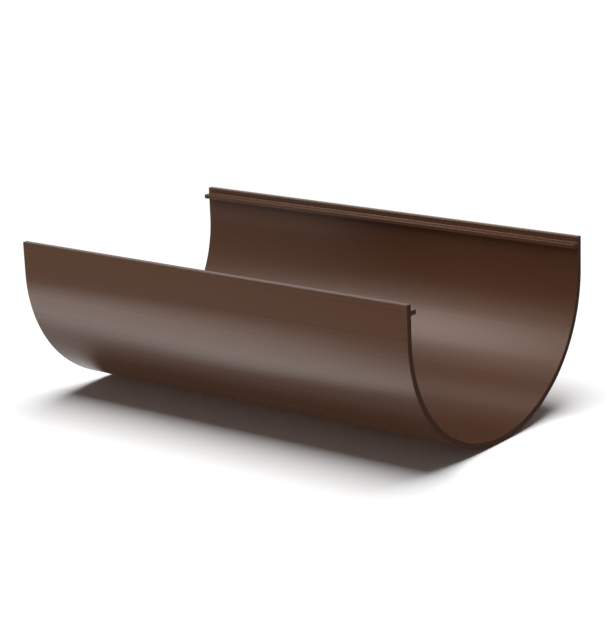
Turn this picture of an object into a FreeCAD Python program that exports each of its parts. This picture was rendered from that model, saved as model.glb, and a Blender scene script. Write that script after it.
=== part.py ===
import FreeCAD, Part
import math
import os

# A short length of deep half-round rainwater gutter, extruded in one piece of rigid plastic and
# sawn square at both ends. X runs along the channel, Y runs across it, and Z points up, the way
# that the channel opens. The origin lies on the lowest line of the outside, half way along.

# Driving dimensions, in millimetres and degrees
LENGTH = 201.0
# Over the outside of the two rims
WIDTH = 125.0
# From the rims down to the lowest line of the outside
DEPTH = 72.4
WALL = 2.5
# Height of the straight wall below each rim
UPRIGHT = 13.9
# The flatter curve of the bottom reaches this far to each side of straight down.
BOTTOM_HALF_ANGLE = 39.0
# A rib that brackets and fittings clip under runs along the inside of each wall.
RIB_DROP = 2.75
RIB_THICKNESS = 1.9
RIB_REACH = 3.2
# Roundings that the die leaves along the rims, the ribs' tips and the ribs' roots
RIM_ROUND = 0.4
RIB_TIP_ROUND = 0.35
RIB_ROOT_ROUND = 0.5

# Places in the section, worked out from the driving dimensions
OUTER_FACE = WIDTH / 2.0
INNER_FACE = OUTER_FACE - WALL
RIB_TIP = INNER_FACE - RIB_REACH
RIB_TOP = DEPTH - RIB_DROP
RIB_UNDERSIDE = RIB_TOP - RIB_THICKNESS
UPRIGHT_FOOT = DEPTH - UPRIGHT

# The curve below the uprights is a three-centred arch. Its side curves leave the uprights
# tangentially and run tangentially into one bottom curve of another radius.
JOIN_ANGLE = math.radians(BOTTOM_HALF_ANGLE)
LEVEL = math.pi / 2.0
RADIUS_STEP = (OUTER_FACE - UPRIGHT_FOOT) / (math.sin(JOIN_ANGLE) + math.cos(JOIN_ANGLE) - 1.0)
BOTTOM_RADIUS = UPRIGHT_FOOT + RADIUS_STEP * math.cos(JOIN_ANGLE)
SIDE_RADIUS = BOTTOM_RADIUS - RADIUS_STEP
BOTTOM_CENTRE = (0.0, BOTTOM_RADIUS)
SIDE_CENTRE = (OUTER_FACE - SIDE_RADIUS, UPRIGHT_FOOT)


def section_point(y, z):
    """A point of the section, in the plane of the cut end that faces -X."""
    return FreeCAD.Vector(-LENGTH / 2.0, y, z)


def curve(centre, radius, first_angle, last_angle):
    """One arc of the section. Angles are counted from straight down, towards +Y."""
    centre_y, centre_z = centre
    points = []
    for angle in (first_angle, (first_angle + last_angle) / 2.0, last_angle):
        y = centre_y + radius * math.sin(angle)
        z = centre_z - radius * math.cos(angle)
        points.append(section_point(y, z))
    return Part.Arc(*points).toShape()


def side_curve(inset):
    """The curve on the +Y side, on the outside of the wall or set in by its thickness."""
    return curve(SIDE_CENTRE, SIDE_RADIUS - inset, JOIN_ANGLE, LEVEL)


def bottom_curve(inset):
    """The curve under both halves of the channel, on the outside or set in in the same way."""
    return curve(BOTTOM_CENTRE, BOTTOM_RADIUS - inset, -JOIN_ANGLE, JOIN_ANGLE)


def rim_and_rib():
    """The straight edges from the foot of the outer upright over the rim to that of the inner."""
    corners = [
        (OUTER_FACE, UPRIGHT_FOOT),
        (OUTER_FACE, DEPTH),
        (INNER_FACE, DEPTH),
        (INNER_FACE, RIB_TOP),
        (RIB_TIP, RIB_TOP),
        (RIB_TIP, RIB_UNDERSIDE),
        (INNER_FACE, RIB_UNDERSIDE),
        (INNER_FACE, UPRIGHT_FOOT),
    ]
    points = [section_point(y, z) for y, z in corners]
    return [Part.makeLine(start, end) for start, end in zip(points, points[1:])]


def sharp_section():
    """The face that is extruded, with its corners still sharp."""
    half = [side_curve(0.0)] + rim_and_rib() + [side_curve(WALL)]
    origin = FreeCAD.Vector(0.0, 0.0, 0.0)
    across = FreeCAD.Vector(0.0, 1.0, 0.0)
    mirrored = [edge.mirror(origin, across) for edge in half]
    outline = half + mirrored + [bottom_curve(0.0), bottom_curve(WALL)]
    return Part.Face(Part.Wire(Part.sortEdges(outline)[0]))


def round_long_edges(solid, radius, places):
    """Round the edges that run the length of the gutter at these places of its +Y half and of
    the mirrored half."""
    edges = []
    for y, z in places:
        for edge in solid.Edges:
            middle = edge.CenterOfMass
            off_place = math.hypot(abs(middle.y) - y, middle.z - z)
            if abs(middle.x) < 1e-6 and off_place < 1e-6:
                edges.append(edge)
    return solid.makeFillet(radius, edges)


def gutter_section():
    """The extrusion with every corner of its rims and ribs rounded as the die leaves it."""
    solid = sharp_section().extrude(FreeCAD.Vector(LENGTH, 0.0, 0.0))
    solid = round_long_edges(solid, RIM_ROUND, [(OUTER_FACE, DEPTH), (INNER_FACE, DEPTH)])
    solid = round_long_edges(solid, RIB_TIP_ROUND, [(RIB_TIP, RIB_TOP), (RIB_TIP, RIB_UNDERSIDE)])
    rib_roots = [(INNER_FACE, RIB_TOP), (INNER_FACE, RIB_UNDERSIDE)]
    return round_long_edges(solid, RIB_ROOT_ROUND, rib_roots)


os.makedirs("parts", exist_ok=True)
gutter = gutter_section()
gutter.exportStep("parts/gutter_section.step")
print("side radius", round(SIDE_RADIUS, 2), "bottom radius", round(BOTTOM_RADIUS, 2))
print("valid", gutter.isValid(), "solids", len(gutter.Solids), "volume", round(gutter.Volume, 1))
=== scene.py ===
import math

import bmesh
import bpy
from mathutils import Matrix, Vector


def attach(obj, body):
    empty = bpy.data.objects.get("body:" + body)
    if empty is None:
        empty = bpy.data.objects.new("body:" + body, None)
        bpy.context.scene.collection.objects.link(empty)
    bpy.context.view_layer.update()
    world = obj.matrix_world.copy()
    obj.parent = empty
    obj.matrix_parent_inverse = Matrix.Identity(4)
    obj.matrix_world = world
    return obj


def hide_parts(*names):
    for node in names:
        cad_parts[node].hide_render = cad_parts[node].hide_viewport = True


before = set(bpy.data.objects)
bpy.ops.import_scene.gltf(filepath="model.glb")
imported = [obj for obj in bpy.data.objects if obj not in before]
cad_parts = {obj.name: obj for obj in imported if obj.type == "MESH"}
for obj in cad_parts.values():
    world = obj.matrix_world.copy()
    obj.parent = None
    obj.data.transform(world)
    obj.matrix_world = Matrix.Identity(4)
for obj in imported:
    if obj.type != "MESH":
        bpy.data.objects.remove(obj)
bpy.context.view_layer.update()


# Gutter.
# A short length of deep half-round rainwater gutter, extruded in one piece of brown rigid plastic
# with a clip rib inside each rim. It is sawn square at both ends and lies loose on the floor.

length = 0.201
half_width = 0.0625
depth = 0.0724
wall = 0.0025
upright = 0.0139
rib_drop = 0.00275
rib_thickness = 0.0019
rib_reach = 0.0032
inner_face = half_width - wall
upright_foot = depth - upright
rib_top = depth - rib_drop
rib_underside = rib_top - rib_thickness
rib_tip = inner_face - rib_reach

# The channel is a three-centred curve: one bottom curve and a tighter one up to each upright.
bottom_half_angle = 39
radius_step = (half_width - upright_foot) / (
    math.sin(math.radians(bottom_half_angle)) + math.cos(math.radians(bottom_half_angle)) - 1
)
bottom_radius = upright_foot + radius_step * math.cos(math.radians(bottom_half_angle))
side_radius = bottom_radius - radius_step

rim_round = 0.0004
rib_tip_round = 0.00035
rib_root_round = 0.0005
sawn_edge_round = 0.00005

# How finely the mesh follows the section and the length
steps_in_a_round = 6
stations_up_the_outside = 6
stations_between_rounds = 1
stations_down_the_inside = 4
lengths_along = 24
steps_in_a_sawn_edge = 2


def curve_station(degrees, inset):
    """Place and outward direction on the outer curve, or on the inner one where inset is the wall."""
    angle = math.radians(degrees)
    outward = Vector((math.sin(angle), -math.cos(angle)))
    if degrees <= bottom_half_angle:
        centre, radius = Vector((0, bottom_radius)), bottom_radius
    else:
        centre, radius = Vector((half_width - side_radius, upright_foot)), side_radius
    place = centre + outward * (radius - inset)
    return place, outward if inset == 0 else -outward


def straight_stations(start, end, count):
    """Stations between two points, without the points themselves."""
    run = end - start
    outward = Vector((run.y, -run.x)).normalized()
    return [(start + run * (i / (count + 1)), outward) for i in range(1, count + 1)]


def round_stations(before, corner, after, radius):
    """The stations of a rounded corner of the rim or the rib."""
    arriving, leaving = (corner - before).normalized(), (after - corner).normalized()
    centre = corner - arriving * radius + leaving * radius
    outside_corner = arriving.cross(leaving) > 0
    stations = []
    for i in range(steps_in_a_round + 1):
        turn = math.radians(90 * i / steps_in_a_round)
        spoke = arriving * math.sin(turn) - leaving * math.cos(turn)
        stations.append((centre + spoke * radius, spoke if outside_corner else -spoke))
    return stations


# One half of the section: up the outside, over the rim, round the rib and down the inside
outer_run = [curve_station(degrees, 0) for degrees in range(91)]
inner_run = [curve_station(degrees, wall) for degrees in range(90, -1, -1)]
rim_corners = [
    (Vector((half_width, depth)), rim_round),
    (Vector((inner_face, depth)), rim_round),
    (Vector((inner_face, rib_top)), rib_root_round),
    (Vector((rib_tip, rib_top)), rib_tip_round),
    (Vector((rib_tip, rib_underside)), rib_tip_round),
    (Vector((inner_face, rib_underside)), rib_root_round),
]
corner_places = [outer_run[-1][0]] + [place for place, _ in rim_corners] + [inner_run[0][0]]
rim_run = []
for number, (corner, radius) in enumerate(rim_corners):
    before, after = corner_places[number], corner_places[number + 2]
    arc = round_stations(before, corner, after, radius)
    if number == 0:
        rim_run += straight_stations(before, arc[0][0], stations_up_the_outside)
    else:
        rim_run += straight_stations(rim_run[-1][0], arc[0][0], stations_between_rounds)
    rim_run += arc
rim_run += straight_stations(rim_run[-1][0], inner_run[0][0], stations_down_the_inside)

half = outer_run + rim_run + inner_run
mirrored = [(Vector((-place.x, place.y)), Vector((-outward.x, outward.y)))
            for place, outward in reversed(half)]
# The two stations on the middle line are in both halves
section = half + mirrored[1:-1]

# How far along each ring of the mesh lies, how far its line is set in by the sawn edge's rounding,
# and how far its direction leans towards the cut
sawn_edges = []
for side in (-1, 1):
    sawn = []
    for i in range(steps_in_a_sawn_edge + 1):
        lean = math.radians(90 * i / steps_in_a_sawn_edge)
        along = length / 2 - sawn_edge_round * (1 - math.sin(lean))
        sawn.append((side * along, sawn_edge_round * (1 - math.cos(lean)), side * lean))
    sawn_edges.append(sawn)
full_length = length - 2 * sawn_edge_round
middle = [(full_length * (i / lengths_along - 0.5), 0, 0) for i in range(1, lengths_along)]
rings = sawn_edges[0][::-1] + middle + sawn_edges[1]

mesh = bmesh.new()
directions = []
ring_points = []
for along, inset, lean in rings:
    points = []
    for place, outward in section:
        y, z = place - outward * inset
        points.append(mesh.verts.new((along, y, z)))
        across = math.cos(lean)
        directions.append((math.sin(lean), outward.x * across, outward.y * across))
    ring_points.append(points)

stations_round = len(section)
for number, (this, following) in enumerate(zip(ring_points, ring_points[1:])):
    on_skin = steps_in_a_sawn_edge <= number < len(rings) - 1 - steps_in_a_sawn_edge
    for i in range(stations_round):
        j = (i + 1) % stations_round
        face = mesh.faces.new((this[i], this[j], following[j], following[i]))
        face.material_index = 0 if on_skin else 1

# The sawn faces as numbers of stations: strips across the curved wall of one half, one face for
# its rim with the rib, and the same again mirrored
last = len(half) - 1
top_of_outside = len(outer_run) - 1
top_of_inside = len(half) - len(inner_run)
sawn_faces = [[i, i + 1, last - 1 - i, last - i] for i in range(top_of_outside)]
sawn_faces.append(list(range(top_of_outside, top_of_inside + 1)))
sawn_faces += [[(stations_round - i) % stations_round for i in reversed(face)] for face in sawn_faces]
for points, faces_right in ((ring_points[0], False), (ring_points[-1], True)):
    for numbers in sawn_faces:
        corners = [points[i] for i in numbers]
        face = mesh.faces.new(corners if faces_right else corners[::-1])
        face.material_index = 1

gutter_mesh = bpy.data.meshes.new("gutter")
for face in mesh.faces:
    face.smooth = True
mesh.to_mesh(gutter_mesh)
mesh.free()
gutter_mesh.normals_split_custom_set_from_vertices(directions)
gutter = bpy.data.objects.new("gutter", gutter_mesh)
bpy.context.scene.collection.objects.link(gutter)


def add_node(material, kind, inputs, **settings):
    """A node of a finish, with its settings and its inputs, which are values or other nodes' outputs."""
    made = material.node_tree.nodes.new(kind)
    for name, value in settings.items():
        setattr(made, name, value)
    for name, value in inputs.items():
        if isinstance(value, bpy.types.NodeSocket):
            material.node_tree.links.new(value, made.inputs[name])
        else:
            made.inputs[name].default_value = value
    return made


def new_finish(name):
    """An empty material, its plastic shader and the object coordinates for its patterns."""
    material = bpy.data.materials.new(name)
    material.use_nodes = True
    shader = material.node_tree.nodes["Principled BSDF"]
    place = add_node(material, "ShaderNodeTexCoord", {}).outputs["Object"]
    return material, shader, place


def stretched_noise(material, place, stretch, detail):
    """Noise whose grain is 1 over the stretch, in metres, along each axis."""
    grain = add_node(material, "ShaderNodeMapping", {"Vector": place, "Scale": stretch})
    noise = add_node(material, "ShaderNodeTexNoise",
                     {"Vector": grain.outputs["Vector"], "Scale": 1.0, "Detail": detail})
    return noise.outputs["Fac"]


# Nearly all of a noise lies between these two values
noise_low = 0.3
noise_high = 0.7


def between(material, amount, low, high):
    """A number that goes from low to high with a pattern's amount."""
    spread = add_node(material, "ShaderNodeMapRange",
                      {"Value": amount, "From Min": noise_low, "From Max": noise_high,
                       "To Min": low, "To Max": high})
    return spread.outputs["Result"]


def between_colours(material, amount, dark, light):
    """A colour that goes from dark to light with a pattern's amount."""
    mix = add_node(material, "ShaderNodeMix", {}, data_type="RGBA")
    material.node_tree.links.new(amount, mix.inputs["Factor"])
    mix.inputs["A"].default_value = (*dark, 1)
    mix.inputs["B"].default_value = (*light, 1)
    return mix.outputs["Result"]


def relief(material, height, deep, under=None):
    """Raises a pattern by so many metres, on top of another relief where one is given."""
    inputs = {"Height": height, "Distance": deep, "Strength": 1.0}
    if under is not None:
        inputs["Normal"] = under
    return add_node(material, "ShaderNodeBump", inputs).outputs["Normal"]


plastic_ior = 1.5

# The skin as it leaves the die: semi-gloss with a slightly warm sheen, faint lines drawn along
# the gutter, a soft orange peel and slightly cloudy pigment
skin_dark = (0.058, 0.0247, 0.0130)
skin_light = (0.062, 0.0265, 0.0140)
skin_sheen = (1.0, 0.84, 0.74, 1)
skin_roughness = (0.27, 0.29)
peel_height = 0.0000012
die_line_height = 0.0000006
skin, shader, place = new_finish("brown_plastic_skin")
flow = stretched_noise(skin, place, (9, 55, 55), 3.0)
die_lines = stretched_noise(skin, place, (2.5, 900, 900), 4.0)
peel = stretched_noise(skin, place, (420, 520, 520), 2.0)
shader.inputs["IOR"].default_value = plastic_ior
shader.inputs["Specular IOR Level"].default_value = 0.13
shader.inputs["Specular Tint"].default_value = skin_sheen
surface_colour = between_colours(skin, between(skin, flow, 0, 1), skin_dark, skin_light)
peeled = relief(skin, peel, peel_height)
links = skin.node_tree.links
links.new(surface_colour, shader.inputs["Base Color"])
links.new(between(skin, die_lines, *skin_roughness), shader.inputs["Roughness"])
links.new(relief(skin, die_lines, die_line_height, peeled), shader.inputs["Normal"])
gutter_mesh.materials.append(skin)

# The sawn ends: dull, with painted shade that makes them darker than the skin, and the fine arcs that the
# saw's teeth leave
sawn_painted_shade_dark = (0.034, 0.0138, 0.0064)
sawn_painted_shade_light = (0.040, 0.0164, 0.0078)
sawn_roughness = (0.58, 0.70)
tooth_mark_height = 0.00001
chip_height = 0.000012
to_saw_centre = (0, 0.05, -0.16)
sawn_face, shader, place = new_finish("brown_plastic_sawn")
swing = add_node(sawn_face, "ShaderNodeMapping", {"Vector": place, "Location": to_saw_centre})
teeth = add_node(sawn_face, "ShaderNodeTexWave",
                 {"Vector": swing.outputs["Vector"], "Scale": 520.0, "Distortion": 1.2, "Detail": 3.0,
                  "Detail Scale": 2.0},
                 wave_type="RINGS", rings_direction="X")
chips = stretched_noise(sawn_face, place, (1500, 1500, 1500), 3.0)
shader.inputs["IOR"].default_value = plastic_ior
shader.inputs["Specular IOR Level"].default_value = 0.07
# The sawn colour holds painted shade. Its chips vary at random, but its darkness stands in for the little
# light that the end faces get.
surface_colour = between_colours(sawn_face, between(sawn_face, chips, 0, 1), sawn_painted_shade_dark, sawn_painted_shade_light)
toothed = relief(sawn_face, teeth.outputs["Fac"], tooth_mark_height)
links = sawn_face.node_tree.links
links.new(surface_colour, shader.inputs["Base Color"])
links.new(between(sawn_face, chips, *sawn_roughness), shader.inputs["Roughness"])
links.new(relief(sawn_face, chips, chip_height, toothed), shader.inputs["Normal"])
gutter_mesh.materials.append(sawn_face)

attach(gutter, "root")
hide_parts("gutter_section")


# Floor.
# A wide flat sheet of white board under the gutter. The camera and reflections see it as white
# with the gutter's soft shadow, and it throws less light back up than white board would.

floor_radius = 6.0
floor_corners = 96
board_grey = 0.15
# The board is lit, and so takes the shadow, up to the first distance from the middle. From there
# to the second it turns into an even white.
shadow_reach = 0.15
shadow_end = 0.5

board = bmesh.new()
bmesh.ops.create_circle(board, cap_ends=True, radius=floor_radius, segments=floor_corners)
floor_mesh = bpy.data.meshes.new("floor")
board.to_mesh(floor_mesh)
board.free()
floor = bpy.data.objects.new("floor", floor_mesh)
bpy.context.scene.collection.objects.link(floor)

white_board = bpy.data.materials.new("white_board")
white_board.use_nodes = True
tree = white_board.node_tree
tree.nodes.remove(tree.nodes["Principled BSDF"])


def seen_directly(material):
    """1 where the camera, a reflection or glass looks at a surface, and 0 for the light it gives."""
    path = add_node(material, "ShaderNodeLightPath", {})
    seen = add_node(material, "ShaderNodeMath",
                    {0: path.outputs["Is Camera Ray"], 1: path.outputs["Is Glossy Ray"]},
                    operation="MAXIMUM")
    return add_node(material, "ShaderNodeMath",
                    {0: seen.outputs["Value"], 1: path.outputs["Is Transmission Ray"]},
                    operation="MAXIMUM").outputs["Value"]


place = add_node(white_board, "ShaderNodeTexCoord", {}).outputs["Object"]
away = add_node(white_board, "ShaderNodeVectorMath", {0: place}, operation="LENGTH").outputs["Value"]
shadow_share = add_node(white_board, "ShaderNodeMapRange",
                        {"Value": away, "From Min": shadow_reach, "From Max": shadow_end,
                         "To Min": 1.0, "To Max": 0.0},
                        interpolation_type="SMOOTHSTEP").outputs["Result"]
glow = add_node(white_board, "ShaderNodeEmission", {"Strength": 1.0}).outputs["Emission"]
lit = add_node(white_board, "ShaderNodeBsdfDiffuse", {"Color": (1.0, 1.0, 1.0, 1)}).outputs["BSDF"]
grey = add_node(white_board, "ShaderNodeBsdfDiffuse",
                {"Color": (board_grey, board_grey, board_grey, 1)}).outputs["BSDF"]
white = add_node(white_board, "ShaderNodeMixShader",
                 {0: shadow_share, 1: glow, 2: lit}).outputs["Shader"]
board_shader = add_node(white_board, "ShaderNodeMixShader",
                        {0: seen_directly(white_board), 1: grey, 2: white}).outputs["Shader"]
tree.links.new(board_shader, tree.nodes["Material Output"].inputs["Surface"])
white_board.cycles.emission_sampling = "NONE"
floor_mesh.materials.append(white_board)
# The light of lamps below the floor passes through it
floor.visible_shadow = False


# Studio.
# White surroundings, soft boxes above and below the floor that light the gutter alone, one from
# overhead that lights the floor alone, and a dark board that is hidden below the floor.

surroundings_light = 0.1
world = bpy.data.worlds.new("studio")
bpy.context.scene.world = world
world.use_nodes = True
tree = world.node_tree
room = tree.nodes["Background"]
room.inputs["Color"].default_value = (1, 1, 1, 1)
room.inputs["Strength"].default_value = surroundings_light
white_room = add_node(world, "ShaderNodeBackground", {"Color": (1, 1, 1, 1), "Strength": 1.0})
room_shader = add_node(world, "ShaderNodeMixShader",
                       {0: seen_directly(world), 1: room.outputs["Background"],
                        2: white_room.outputs["Background"]}).outputs["Shader"]
tree.links.new(room_shader, tree.nodes["World Output"].inputs["Surface"])


def add_lamp(name, azimuth, elevation, width, height, watts, turn=0, distance=1.2):
    """A soft box that faces the gutter and that the camera doesn't see. Azimuths are in degrees
    from +X towards +Y, and a turn is about the line to the gutter."""
    data = bpy.data.lights.new(name, "AREA")
    data.shape = "RECTANGLE"
    data.size = width
    data.size_y = height
    data.energy = watts
    lamp = bpy.data.objects.new(name, data)
    level = math.cos(math.radians(elevation))
    towards = Vector((level * math.cos(math.radians(azimuth)), level * math.sin(math.radians(azimuth)),
                      math.sin(math.radians(elevation))))
    lamp.location = Vector((0, 0, depth / 2)) + towards * distance
    facing = towards.to_track_quat("Z", "Y").to_matrix()
    lamp.rotation_euler = (facing @ Matrix.Rotation(math.radians(turn), 3, "Z")).to_euler()
    lamp.visible_camera = False
    bpy.context.scene.collection.objects.link(lamp)
    return lamp


# The key lamp is a tall box with a brighter middle, which is a second box just in front of it
key_lamp = add_lamp("key_lamp", azimuth=-140, elevation=42, width=0.3, height=1.15, watts=5.4, turn=35)
key_middle = add_lamp("key_middle", azimuth=-140, elevation=42, width=0.24, height=0.52, watts=7.4,
                      turn=35, distance=1.18)
top_lamp = add_lamp("top_lamp", azimuth=-90, elevation=80, width=0.7, height=0.7, watts=7.4)
back_lamp = add_lamp("back_lamp", azimuth=144, elevation=57, width=0.29, height=0.62, watts=1.1, turn=26)
fill_lamp = add_lamp("fill_lamp", azimuth=92, elevation=24, width=0.6, height=0.5, watts=7.0)
front_lamp = add_lamp("front_lamp", azimuth=-48, elevation=-3, width=0.3, height=0.56, watts=6.2, turn=99)
under_lamp = add_lamp("under_lamp", azimuth=-140, elevation=-36, width=0.5, height=0.7, watts=7.0)
behind_lamp = add_lamp("behind_lamp", azimuth=118, elevation=-32, width=0.5, height=0.5, watts=9.0)
floor_lamp = add_lamp("floor_lamp", azimuth=-90, elevation=88, width=1.0, height=1.0, watts=20.0)

# The last lamp lights the floor alone, from overhead, and the others light the gutter alone
only_floor = bpy.data.collections.new("only_floor")
only_floor.objects.link(floor)
floor_lamp.light_linking.receiver_collection = only_floor
only_gutter = bpy.data.collections.new("only_gutter")
only_gutter.objects.link(gutter)
for lamp in (key_lamp, key_middle, top_lamp, back_lamp, fill_lamp, front_lamp, under_lamp, behind_lamp):
    lamp.light_linking.receiver_collection = only_gutter

# A ray from the gutter to one of these ends at the floor, though the lamp's own light passes it,
# so only the lamp's own light is counted
for lamp in (front_lamp, under_lamp, behind_lamp):
    lamp.data.cycles.use_multiple_importance_sampling = False

# A dark board on edge below the floor, under the gutter's lowest line. It keeps the light of a
# lamp below the floor on its own side, where it would else glance off the far side's underside.
flag_length = 0.36
flag_height = 0.1
flag_gap = 0.0005
flag_end = flag_length / 2
flag_foot = -flag_gap - flag_height
flag_corners = [
    (-flag_end, 0, -flag_gap),
    (flag_end, 0, -flag_gap),
    (flag_end, 0, flag_foot),
    (-flag_end, 0, flag_foot),
]
flag_mesh = bpy.data.meshes.new("flag")
flag_mesh.from_pydata(flag_corners, [], [(0, 1, 2, 3)])
black_board = bpy.data.materials.new("black_board")
black_board.use_nodes = True
shader = black_board.node_tree.nodes["Principled BSDF"]
shader.inputs["Base Color"].default_value = (0.02, 0.02, 0.02, 1)
shader.inputs["Roughness"].default_value = 0.9
flag_mesh.materials.append(black_board)
flag = bpy.data.objects.new("flag", flag_mesh)
bpy.context.scene.collection.objects.link(flag)


# Camera.
# It stands in front and to the right, and looks a little down into the channel.

camera_place = (0.53844, -0.67292, 0.28111)
degrees_left = 38.532
degrees_down = 15.737
degrees_rolled = -2.229
camera_data = bpy.data.cameras.new("camera")
camera_data.lens = 119.56
camera_data.sensor_width = 36
camera = bpy.data.objects.new("camera", camera_data)
turn = Matrix.Rotation(math.radians(degrees_left), 4, "Z")
tip = Matrix.Rotation(math.radians(90 - degrees_down), 4, "X")
roll = Matrix.Rotation(math.radians(degrees_rolled), 4, "Z")
camera.matrix_world = Matrix.Translation(camera_place) @ turn @ tip @ roll
bpy.context.scene.collection.objects.link(camera)
bpy.context.scene.camera = camera

bpy.context.scene.view_settings.view_transform = "Standard"
